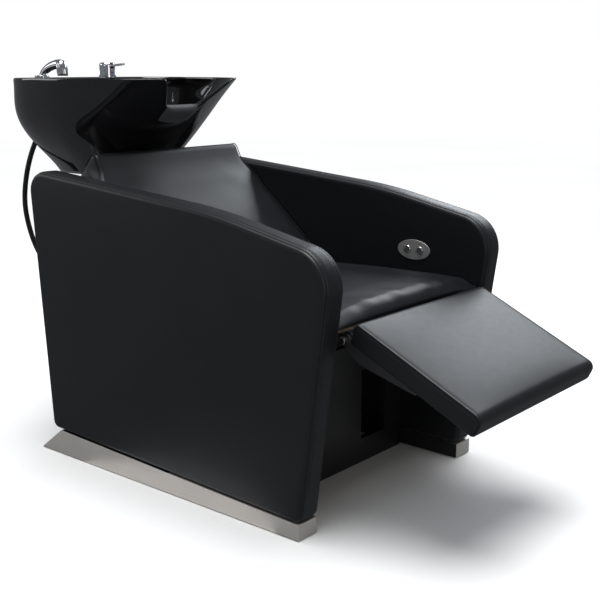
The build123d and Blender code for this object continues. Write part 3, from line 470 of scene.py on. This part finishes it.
# distance in from the face, then distance in from the outline
FACE_EDGE = (
    (0.0000, 0.0120), (0.0003, 0.0090), (0.0011, 0.0062), (0.0024, 0.0040), (0.0042, 0.0024),
    (0.0060, 0.0018), (0.0072, 0.0026), (0.0078, 0.0060),
)
OUTER_FACE_X, INNER_FACE_X = 0.340, 0.275
BAND_X, BAND_HALF = 0.3075, 0.0245
BAND_LIP, BAND_STEPS = 0.008, 12  # depth of the band's hidden edges, rings on each half
OUTER_SEAM_X, INNER_SEAM_X, SEAM_INSET, SEAM_R = 0.3325, 0.2825, 0.0030, 0.0013
TOPSTITCH_IN = 0.0085  # from the band's edge to its row of stitches
for side, s in (("left", 1), ("right", -1)):
    for name, face_x, inward in (("outer", OUTER_FACE_X, -1), ("inner", INNER_FACE_X, 1)):
        rings = [panel_ring(s * (face_x + inward * d), inset + zero) for d, inset in FACE_EDGE]
        piece = finish_mesh(
            f"{side}_{name}_cover", rings_mesh(f"{side}_{name}_cover", rings),
            LOOKS["leatherette"], "base",
        )
        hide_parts(f"{side}_{name}_pad")
    rings = []
    for k in range(-BAND_STEPS, BAND_STEPS + 1):
        t = k / BAND_STEPS
        x = BAND_X + t * BAND_HALF
        edge = BAND_HALF - abs(t) * BAND_HALF
        inset = 0.0024 * max(0.0, 1 - edge / 0.004) ** 2
        dip = 0.0007 * math.exp(-((edge - TOPSTITCH_IN) / 0.0016) ** 2)
        bulge = 0.0016 * (1 - t**4) - dip
        rings.append(panel_ring(s * x, inset + zero, bulge))
    rings = [panel_ring(s * (BAND_X - BAND_HALF), BAND_LIP + zero)] + rings
    rings.append(panel_ring(s * (BAND_X + BAND_HALF), BAND_LIP + zero))
    band = finish_mesh(
        f"{side}_band_cover", rings_mesh(f"{side}_band_cover", rings, False, False),
        LOOKS["leatherette"], "base",
    )
    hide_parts(f"{side}_border_band")
    for name, x in (("outer", OUTER_SEAM_X), ("inner", INNER_SEAM_X)):
        path = panel_ring(s * x, SEAM_INSET + zero)
        tube(f"{side}_{name}_seam", path, SEAM_R, SEAM, "base")
    for name, x in (
        ("outer", BAND_X + BAND_HALF - TOPSTITCH_IN),
        ("inner", BAND_X - BAND_HALF + TOPSTITCH_IN),
    ):
        path = panel_ring(s * x, zero, 0.0012)
        out = np.c_[zero, outline_out]
        stitches(f"{side}_{name}_topstitch", path, out, "base")

# ---------------------------------------------------------------- cushions


def pillow(name, profile, normals, stations, place, body, nodes_replaced, shape=None):
    """Upholstered body: a closed side profile carried across the stations (x, inset)."""
    rings = []
    for x, inset in stations:
        flat = profile - normals * inset
        ring = np.array([place(x, a, b) for a, b in flat])
        rings.append(shape(x, ring) if shape else ring)
    piece = finish_mesh(name, rings_mesh(name, rings), LOOKS["leatherette"], body, 60)
    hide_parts(*nodes_replaced)
    return piece


def across(half, edge, count=40):
    """Stations from -half to half whose ends round off with radius edge."""
    stations = []
    for k in range(7):
        a = math.radians(90 * k / 6)
        stations.append((-half + edge * (1 - math.cos(a)), edge * (1 - math.sin(a))))
    for k in range(1, count):
        stations.append((-half + edge + (2 * half - 2 * edge) * k / count, 0.0))
    return stations + [(-x, inset) for x, inset in reversed(stations[:7])]


def upright(x, y, z):
    return (x, y, z)


# seat: a long soft roll over the front edge, dished towards the side panels
SEAT = (
    (0.030, 0.4485), (0.030, 0.478), (-0.150, 0.486), (-0.330, 0.489), (-0.414, 0.486),
    (-0.4335, 0.452), (-0.428, 0.4485),
)
seat_profile, seat_out = rounded(
    SEAT, (0.006, 0.012, 0.30, 0.30, 0.034, 0.010, 0.003), 0.007
)


def seat_shape(x, ring):
    ring = ring.copy()
    dish = -0.020 * abs(x / 0.272) ** 3.2
    top = np.clip((ring[:, 2] - 0.4485) / 0.030, 0, 1)
    ring[:, 2] += dish * top
    # soft waves where the cover is pulled over the roll
    wave = 0.0010 * np.sin(x * 61.0 + ring[:, 1] * 23.0) + 0.0007 * np.sin(x * 113.0 - 1.3)
    near_front = np.exp(-(((ring[:, 1] + 0.40) / 0.05) ** 2))
    ring[:, 2] += wave * near_front * top
    ring[:, 1] -= 0.001 * (1 - abs(x / 0.272) ** 2) * near_front
    return ring


pillow(
    "seat_pad", seat_profile, seat_out, across(0.272, 0.014), upright, "base",
    ["seat_cushion"], seat_shape,
)

# backrest: a firm wedge with a gusset at each end and a sharp upper ridge
BACK = (
    (0.038, 0.462), (0.193, 0.594), (0.262, 0.650), (0.311, 0.708), (0.341, 0.769),
    (0.394, 0.706), (0.352, 0.652), (0.095, 0.4295),
)
back_profile, back_out = rounded(
    BACK, (0.010, 0.50, 0.35, 0.20, 0.013, 0.012, 0.012, 0.010), 0.007
)
BACK_HALF, BACK_TOP_HALF = 0.272, 0.249


def back_shape(x, ring):
    ring = ring.copy()
    rise = np.clip((ring[:, 2] - 0.665) / 0.060, 0, 1)
    rise = rise * rise * (3 - 2 * rise)
    ring[:, 0] *= 1 + rise * (BACK_TOP_HALF / BACK_HALF - 1)
    across_share = abs(x / BACK_HALF)
    front = np.clip((0.33 - ring[:, 1]) / 0.05, 0, 1) * np.clip((ring[:, 2] - 0.50) / 0.05, 0, 1)
    crown = 0.006 * (1 - across_share**4)
    ring[:, 1] -= crown * front
    ring[:, 2] += 0.4 * crown * front
    ripple = 0.0009 * np.sin(x * 47.0 + ring[:, 2] * 60.0) * front * across_share**2
    ring[:, 1] += ripple
    return ring


pillow(
    "backrest_pad", back_profile, back_out, across(BACK_HALF, 0.010), upright, "base",
    ["backrest_cushion"], back_shape,
)

# footrest: crowned top panel sewn to flat gussets, rolled over at the nose
FOOT_TILT = math.radians(25.0)
FOOT_TOP = (-0.455, 0.464)
FOOT_LEN, FOOT_HALF = 0.330, 0.245


def on_footrest(x, along, up):
    c, v = math.cos(FOOT_TILT), math.sin(FOOT_TILT)
    return (x, FOOT_TOP[0] + along * c - up * v, FOOT_TOP[1] + along * v + up * c)


FOOT = ((-0.006, -0.0465), (0.0, -0.014), (0.0, 0.0), (-FOOT_LEN, 0.0), (-FOOT_LEN, -0.0465))
foot_profile, foot_out = rounded(FOOT, (0.005, 0.020, 0.010, 0.017, 0.010), 0.006)


def foot_crown(x, along):
    return 0.0070 * (1 - abs(x / FOOT_HALF) ** 2.6) * (1 - abs(2 * along / FOOT_LEN + 1) ** 4)


def foot_place(x, along, up):
    lift_by = foot_crown(x, along) * np.clip((up + 0.012) / 0.010, 0, 1)
    return on_footrest(x, along, up + lift_by)


pillow(
    "footrest_pad", foot_profile, foot_out, across(FOOT_HALF, 0.006), foot_place, "footrest",
    ["footrest_cushion"], None,
)


def profile_path(place, profile, normals, x, keep_part, outset=0.0, sideways=0.0):
    """Part of a side profile as a path at x, with the direction away from the cloth."""
    chosen = [i for i, p in enumerate(profile) if keep_part(*p)]
    breaks = [k for k in range(1, len(chosen)) if chosen[k] != chosen[k - 1] + 1]
    if breaks:
        chosen = chosen[breaks[0]:] + chosen[: breaks[0]]
    flat = profile[chosen] + normals[chosen] * outset
    path = np.array([place(x, a, b) for a, b in flat])
    zero_at = np.array(place(0, 0, 0))
    out = np.array([np.array(place(0, *n)) - zero_at for n in normals[chosen]])
    out[:, 0] = sideways
    out /= np.linalg.norm(out, axis=1)[:, None]
    return path, out


CUSHION_SEAM_R = 0.0012


def back_front_part(y, z):
    return z > 0.47 and z - 0.462 > 0.80 * (y - 0.050)


for side, s in (("left", 1), ("right", -1)):
    path, out = profile_path(
        upright, back_profile, back_out, s * (BACK_HALF - 0.0020), back_front_part, 0.0002
    )
    tube(
        f"backrest_{side}_seam", back_shape(path[0, 0], path), CUSHION_SEAM_R, SEAM, "base",
        closed=False,
    )
    path, out = profile_path(
        upright, back_profile, back_out, s * (BACK_HALF - 0.0115), back_front_part
    )
    stitches(
        f"backrest_{side}_topstitch", back_shape(path[0, 0], path), out, "base", closed=False
    )


def foot_top_part(along, up):
    return up > -0.010 and along < -0.004 or along < -FOOT_LEN + 0.002


for side, s in (("left", 1), ("right", -1)):
    path, _ = profile_path(
        on_footrest, foot_profile, foot_out, s * (FOOT_HALF - CUSHION_SEAM_R), foot_top_part,
        -CUSHION_SEAM_R,
    )
    tube(f"footrest_{side}_seam", path, CUSHION_SEAM_R, SEAM, "footrest", closed=False)
    path, out = profile_path(
        foot_place, foot_profile, foot_out, s * (FOOT_HALF - 0.0095), foot_top_part
    )
    stitches(f"footrest_{side}_topstitch", path, out, "footrest", closed=False)
    path, out = profile_path(
        on_footrest, foot_profile, foot_out, s * FOOT_HALF, foot_top_part, -0.0085, s * 1e6
    )
    stitches(f"footrest_{side}_gusset_stitch", path, out, "footrest", closed=False)


# ---------------------------------------------------------------- basin

RIM_Z, BASE_Z, BOWL_FLOOR_Z = 0.938, 0.690, 0.722
DRAIN_Y, DRAIN_BORE = 0.540, 0.025
FRONT_POWER = 2.3
# height, half width, front, rear, widest line and rear power of each section
OUTER = (
    (RIM_Z, 0.250, 0.186, 0.749, 0.520, 3.6),
    (0.868, 0.248, 0.280, 0.749, 0.524, 3.6),
    (0.800, 0.227, 0.355, 0.741, 0.528, 3.3),
    (0.750, 0.191, 0.397, 0.722, 0.530, 2.9),
    (BASE_Z, 0.139, 0.438, 0.693, 0.536, 2.8),
)
INNER = (
    (RIM_Z + 0.012, 0.233, 0.188, 0.640, 0.462, 3.4),
    (0.868, 0.230, 0.302, 0.636, 0.480, 3.2),
    (0.800, 0.207, 0.377, 0.622, 0.494, 2.8),
    (0.755, 0.168, 0.418, 0.602, 0.508, 2.5),
    (BOWL_FLOOR_Z, 0.110, 0.462, 0.594, 0.528, 2.2),
)
NECK_Z, NECK_HALF, NECK_TOP_HALF = 0.862, 0.050, 0.126
LIP_R = 0.0075  # radius of the rim's edges
CUT_Z, DECK_LOW_Z, MOUTH_Z = 0.680, 0.918, 0.806  # under the skirt, deck's underside, rear mouth
RECESS_LOW_Z, CRADLE_Z = 0.665, 0.705  # recess that the tilt cradle sits in
WALL_RINGS = 28


def section_at(sections, z):
    """Outline parameters at each height, on the smooth curve through the sections."""
    table = np.array(sections)
    middle, span = table[:, 0].mean(), np.ptp(table[:, 0])
    u = (table[:, 0] - middle) / span
    at = (np.asarray(z) - middle) / span
    return [np.polyval(np.polyfit(u, table[:, k], len(table) - 1), at) for k in range(1, 6)]


def wall_point(sections, t, z):
    """Plan position of a wall at angle t and height z."""
    half_w, front, rear, middle, power = section_at(sections, z)
    c, v = np.cos(t), np.sin(t)
    n = np.where(v > 0, power, FRONT_POWER)
    reach = np.where(v > 0, rear - middle, middle - front)
    x = half_w * np.abs(c) ** (2 / n) * np.sign(c)
    y = middle + reach * np.abs(v) ** (2 / n) * np.sign(v)
    return np.stack([x, y], -1)


def soft_step(value, width):
    """Smooth version of max(value, 0)."""
    return width * np.logaddexp(0, value / width)


def even_angles(count):
    """Angles that space points evenly round the rim."""
    dense = np.linspace(0, 2 * math.pi, 6001)
    ring = wall_point(OUTER, dense, np.full(len(dense), RIM_Z))
    lengths = np.r_[0, np.cumsum(np.linalg.norm(np.diff(ring, axis=0), axis=1))]
    return np.interp(np.linspace(0, lengths[-1], count, endpoint=False), lengths, dense)


def rim_height(t):
    """Top of the wall at each angle: the rim, dipping through the neck recess."""
    slope = (RIM_Z + 0.014 - NECK_Z) / (NECK_TOP_HALF - NECK_HALF)
    top = np.full(len(t), RIM_Z)
    for _ in range(12):
        x = 0.5 * (wall_point(OUTER, t, top) + wall_point(INNER, t, top))[:, 0]
        recess = NECK_Z + slope * soft_step(np.abs(x) - NECK_HALF, 0.007)
        dipped = RIM_Z - soft_step(RIM_Z - recess, 0.005) + 0.0005
        top = np.where(np.sin(t) < 0, np.minimum(dipped, RIM_Z), RIM_Z)
    return top


def across_wall(t, z, from_outer):
    """Point at a distance in from the outer wall, towards the inner one."""
    outer, inner = wall_point(OUTER, t, z), wall_point(INNER, t, z)
    gap = inner - outer
    size = np.linalg.norm(gap, axis=1)[:, None]
    return outer + gap / size * np.broadcast_to(from_outer, size.T.shape).T, size[:, 0]


def ring3(plan, z):
    return np.c_[plan, np.broadcast_to(z, len(plan))]


def lip_rings(t, top, lip, steps=5, flat=6):
    """Rings over the top of the wall, from its outer edge to its inner edge."""
    rings = []
    _, width = across_wall(t, top, 0.0)
    lip = np.minimum(lip, 0.48 * width)
    for k in range(steps + 1):
        a = math.pi / 2 * k / steps
        z = top - lip + lip * math.sin(a)
        rings.append(ring3(across_wall(t, z, lip * (1 - math.cos(a)))[0], z))
    for k in range(1, flat):
        rings.append(ring3(across_wall(t, top, lip + (width - 2 * lip) * k / flat)[0], top))
    for k in range(steps + 1):
        a = math.pi / 2 * k / steps
        z = top - lip + lip * math.cos(a)
        wide = across_wall(t, z, 0.0)[1]
        rings.append(ring3(across_wall(t, z, wide - lip * (1 - math.sin(a)))[0], z))
    return rings, lip


def basin_cutters():
    """Closed cutters for the hollow under the rear deck and the recess over the cradle."""
    shape, _ = rounded(
        ((-0.160, 0.655), (0.160, 0.655), (0.160, 0.725), (-0.160, 0.725)), (0.012,) * 4, 0.004
    )
    hollow = rings_mesh("hollow", [ring3(shape, z) for z in (CUT_Z, DECK_LOW_Z)])
    mouth_plan = np.array(((-0.150, 0.680), (0.150, 0.680), (0.150, 0.770), (-0.150, 0.770)))
    mouth = rings_mesh("mouth", [ring3(mouth_plan, z) for z in (CUT_Z, MOUTH_Z)])
    seat_plan = np.array(((-0.100, 0.400), (0.100, 0.400), (0.100, 0.620), (-0.100, 0.620)))
    seat = rings_mesh("seat_recess", [ring3(seat_plan, z) for z in (RECESS_LOW_Z, CRADLE_Z)])
    return [bpy.data.objects.new(m.name, m) for m in (hollow, mouth, seat)]


def basin_shell():
    t = even_angles(360)
    top = rim_height(t)
    over, lip = lip_rings(t, top, LIP_R)
    rings = []
    for k in range(WALL_RINGS):
        z = BASE_Z + (top - lip - BASE_Z) * k / WALL_RINGS
        rings.append(ring3(wall_point(OUTER, t, z), z))
    rings += over
    for k in range(1, WALL_RINGS + 1):
        z = top - lip + (BOWL_FLOOR_Z - top + lip) * k / WALL_RINGS
        rings.append(ring3(wall_point(INNER, t, z), z))
    edge = rings[-1][:, :2]
    centre = np.array((0.0, DRAIN_Y))
    away = edge - centre
    bore = centre + away / np.linalg.norm(away, axis=1)[:, None] * DRAIN_BORE
    for k in range(1, 7):
        rings.append(ring3(edge + (bore - edge) * k / 6, BOWL_FLOOR_Z))
    rings.append(ring3(bore, BASE_Z))
    count = len(t)
    verts = [tuple(p) for ring in rings for p in ring]
    faces = []
    for r in range(len(rings)):
        a, b = r * count, (r + 1) % len(rings) * count
        faces += [(a + i, a + (i + 1) % count, b + (i + 1) % count, b + i) for i in range(count)]
    mesh = bpy.data.meshes.new("basin_shell")
    mesh.from_pydata(verts, [], faces)
    basin = finish_mesh("basin_shell", mesh, LOOKS["basin_glaze"], "basin", 60)
    for cutter in basin_cutters():
        scene.collection.objects.link(cutter)
        face_outward(cutter.data)
        cut = basin.modifiers.new(cutter.name, "BOOLEAN")
        cut.solver = "EXACT"
        cut.object = cutter
        shaped = bpy.data.meshes.new_from_object(
            basin.evaluated_get(bpy.context.evaluated_depsgraph_get())
        )
        basin.modifiers.clear()
        basin.data = shaped
        bpy.data.objects.remove(cutter)
    basin.data.materials.clear()
    basin.data.materials.append(LOOKS["basin_glaze"])
    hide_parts("basin")


basin_shell()

# gel pad that saddles the neck recess
PAD_HALF, PAD_GEL, PAD_LOW = 0.054, 0.0095, 0.828


def neck_pad():
    columns = 41
    x_wanted = np.linspace(-PAD_HALF, PAD_HALF, columns)
    dense = np.linspace(1.25 * math.pi, 1.75 * math.pi, 2001)
    top_dense = rim_height(dense)
    x_dense = wall_point(OUTER, dense, top_dense)[:, 0]
    t = np.interp(x_wanted, x_dense, dense)
    top = rim_height(t)
    edge = np.abs(x_wanted) / PAD_HALF
    plump = PAD_GEL * np.sqrt(np.clip(1 - edge**6, 0.02, 1))
    over, lip = lip_rings(t, top, LIP_R, 5, 4)
    under = []
    low = PAD_LOW + 0.006 * edge**2
    steps = 9
    for k in range(steps):
        z = low + (top - lip - low) * k / steps
        under.append(ring3(wall_point(OUTER, t, z), z))
    under += over
    for k in range(1, 4):
        z = top - lip - 0.004 * k
        under.append(ring3(wall_point(INNER, t, z), z))
    base = np.array(under)  # strips from outside to inside, each along the pad
    along = np.gradient(base, axis=0)
    sideways = np.gradient(base, axis=1)
    normal = np.cross(along, sideways)
    normal /= np.linalg.norm(normal, axis=2)[..., None]
    if normal[0, columns // 2, 1] > 0:
        normal = -normal
    rows = len(base)
    share = np.linspace(0, 1, rows)[:, None]
    swell = np.sqrt(np.clip(1 - np.abs(2 * share - 1) ** 5, 0.03, 1)) * plump[None, :]
    outer = base + normal * swell[..., None]
    inner = base + normal * 0.0003
    rings = [np.vstack([outer[:, c], inner[::-1, c]]) for c in range(columns)]
    pad = finish_mesh("neck_pad", rings_mesh("neck_pad", rings), LOOKS["gel"], "basin", 70)
    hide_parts("neck_rest")


neck_pad()

# ---------------------------------------------------------------- taps

GUIDE_X, HEAD_Y, HEAD_MIDDLE_Z = -0.130, 0.602, 0.963
MIXER_AT = (0.095, 0.690)
FLUTES, FLUTE_DEPTH, FLUTED_FROM_R = 12, 0.0005, 0.0120


def arched_handset():
    """Hand shower: a neck that swells as it arches over to the spray face."""
    # y, height and radius along the neck
    stops = np.array((
        (0.690, 0.868, 0.0075), (0.690, 0.900, 0.0075), (0.690, 0.930, 0.0076),
        (0.687, 0.944, 0.0084), (0.676, 0.955, 0.0094), (0.660, 0.9635, 0.0104),
        (0.642, 0.9695, 0.0112), (0.624, 0.9730, 0.0118), (0.610, 0.9740, 0.0118),
        (0.602, 0.9740, 0.0090),
    ))
    fine = np.linspace(0, len(stops) - 1, 61)
    line = np.stack([np.interp(fine, range(len(stops)), stops[:, k]) for k in range(3)], 1)
    for _ in range(3):
        line[1:-1] = (line[:-2] + 2 * line[1:-1] + line[2:]) / 4
    heading = np.gradient(line[:, :2], axis=0)
    heading /= np.linalg.norm(heading, axis=1)[:, None]
    rings = []
    for (y, z, r), (dy, dz) in zip(line, heading):
        turns = np.linspace(0, 2 * math.pi, 28, endpoint=False)
        side, up = 1.12 * r * np.cos(turns), r * np.sin(turns)
        rings.append(np.stack((GUIDE_X + side, y - dz * up, z + dy * up), 1))
    piece = finish_mesh(
        "arched_handset", rings_mesh("arched_handset", rings), LOOKS["chrome"], "handset", 60
    )
    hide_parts("handset_handle")


arched_handset()


def spray_head():
    """Fluted upright head with a domed top and its spray face down."""
    # height and radius
    stops = (
        (0.9430, 0.0110), (0.9430, 0.0128), (0.9440, 0.0136), (0.9500, 0.0140), (0.9620, 0.0142),
        (0.9700, 0.0140), (0.9755, 0.0130), (0.9795, 0.0108), (0.9822, 0.0075), (0.9835, 0.0035),
    )
    turns = np.linspace(0, 2 * math.pi, 72, endpoint=False)
    rings = []
    for z, r in stops:
        flute = FLUTE_DEPTH * np.cos(FLUTES * turns) * (r > FLUTED_FROM_R)
        lean = 0.10 * (z - HEAD_MIDDLE_Z)
        rings.append(np.stack((
            GUIDE_X + (r + flute) * np.cos(turns),
            HEAD_Y + lean + (r + flute) * np.sin(turns),
            np.full(len(turns), z),
        ), 1))
    piece = finish_mesh(
        "spray_head", rings_mesh("spray_head", rings), LOOKS["chrome"], "handset", 60
    )
    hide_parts("handset_head")


spray_head()


def dot(name, body, turn, z, radius, size, material):
    """Small domed colour mark on the front of the mixer."""
    a = math.radians(turn)
    out = np.array((math.sin(a), -math.cos(a), 0.0))
    flat = np.array((math.cos(a), math.sin(a), 0.0))
    up = np.array((0, 0, 1))
    place = np.array((*MIXER_AT, z)) + radius * out
    rings = []
    for share, rise in ((1.0, -0.0006), (1.0, 0.0002), (0.8, 0.0006), (0.4, 0.0009)):
        turns = np.linspace(0, 2 * math.pi, 20, endpoint=False)
        rings.append(np.array([
            place + rise * out + share * size * (math.cos(t) * flat + math.sin(t) * up)
            for t in turns
        ]))
    piece = finish_mesh(name, rings_mesh(name, rings), material, body, 60)


dot("mixer_hot_dot", "basin", -7, 0.9515, 0.0208, 0.0024, RED_DOT)
dot("mixer_cold_dot", "basin", 7, 0.9505, 0.0208, 0.0024, BLUE_DOT)
dot("mixer_cap_dot", "mixer_cap", -22, 0.9660, 0.0218, 0.0018, RED_DOT)

# ---------------------------------------------------------------- stage and light

FLOOR_SIZE, FLOOR_NEAR = 12.0, 0.47


def ring_floor(name, inner, outer, mirrored):
    """Flat ring of floor; the far one isn't mirrored in the object's gloss."""
    count = 96
    turns = [2 * math.pi * k / count for k in range(count)]
    verts = [(r * math.cos(a), r * math.sin(a), 0) for r in (inner, outer) for a in turns]
    faces = [(k, (k + 1) % count, count + (k + 1) % count, count + k) for k in range(count)]
    if inner == 0:
        verts, faces = verts[count:], [tuple(range(count))]
    mesh = bpy.data.meshes.new(name)
    mesh.from_pydata(verts, [], faces)
    mesh.materials.append(FLOOR_PAINT)
    obj = link(name, mesh)
    obj.visible_glossy = mirrored


floor_shader = Shader("floor", (0.9, 0.9, 0.9), 0.8, Specular_IOR_Level=0.1)
floor_shader.tint(floor_shader.noise(0.6, 2), (0.89, 0.89, 0.89), (0.91, 0.91, 0.91))
FLOOR_PAINT = floor_shader.material
ring_floor("floor_near", 0, FLOOR_NEAR, True)
ring_floor("floor_far", FLOOR_NEAR, FLOOR_SIZE, False)

# white studio round the object, dim for its gloss and bright for the eye
world = bpy.data.worlds.new("studio")
world.use_nodes = True
tree = world.node_tree
dim = tree.nodes["Background"]
dim.inputs["Color"].default_value = (0.93, 0.96, 1.0, 1)
dim.inputs["Strength"].default_value = 0.16
white = tree.nodes.new("ShaderNodeBackground")
white.inputs["Strength"].default_value = 1.0
white.inputs["Color"].default_value = (1, 1, 1, 1)
path = tree.nodes.new("ShaderNodeLightPath")
mix = tree.nodes.new("ShaderNodeMixShader")
tree.links.new(path.outputs["Is Camera Ray"], mix.inputs["Fac"])
tree.links.new(dim.outputs["Background"], mix.inputs[1])
tree.links.new(white.outputs["Background"], mix.inputs[2])
tree.links.new(mix.outputs["Shader"], tree.nodes["World Output"].inputs["Surface"])
scene.world = world


def softbox(name, place, target, size_x, size_y, power, color=(1, 1, 1)):
    lamp = bpy.data.lights.new(name, "AREA")
    lamp.shape = "RECTANGLE"
    lamp.size, lamp.size_y = size_x, size_y
    lamp.energy = power
    lamp.color = color
    obj = link(name, lamp)
    obj.location = place
    aim(obj, Vector(target) - Vector(place))
    return obj


sky = bpy.data.lights.new("sky", "SUN")
sky.energy = 3.1
sky.angle = math.radians(42)
sky_obj = link("sky", sky)
aim(sky_obj, (0, 0, -1))
softbox("window", (2.7, 0.25, 2.1), (0, -0.1, 0.55), 1.9, 1.5, 43, (0.89, 0.945, 1.0))
softbox("side", (-1.6, 2.6, 1.6), (-0.3, 0.1, 0.4), 1.2, 1.2, 10)
softbox("fill", (-1.3, -0.5, 2.7), (0.3, -0.2, 0.5), 1.2, 1.2, 9, (0.93, 0.97, 1.0))
softbox("front", (-0.9, -3.0, 1.1), (0, -0.3, 0.35), 1.2, 1.0, 5)

scene.view_settings.view_transform = "Standard"
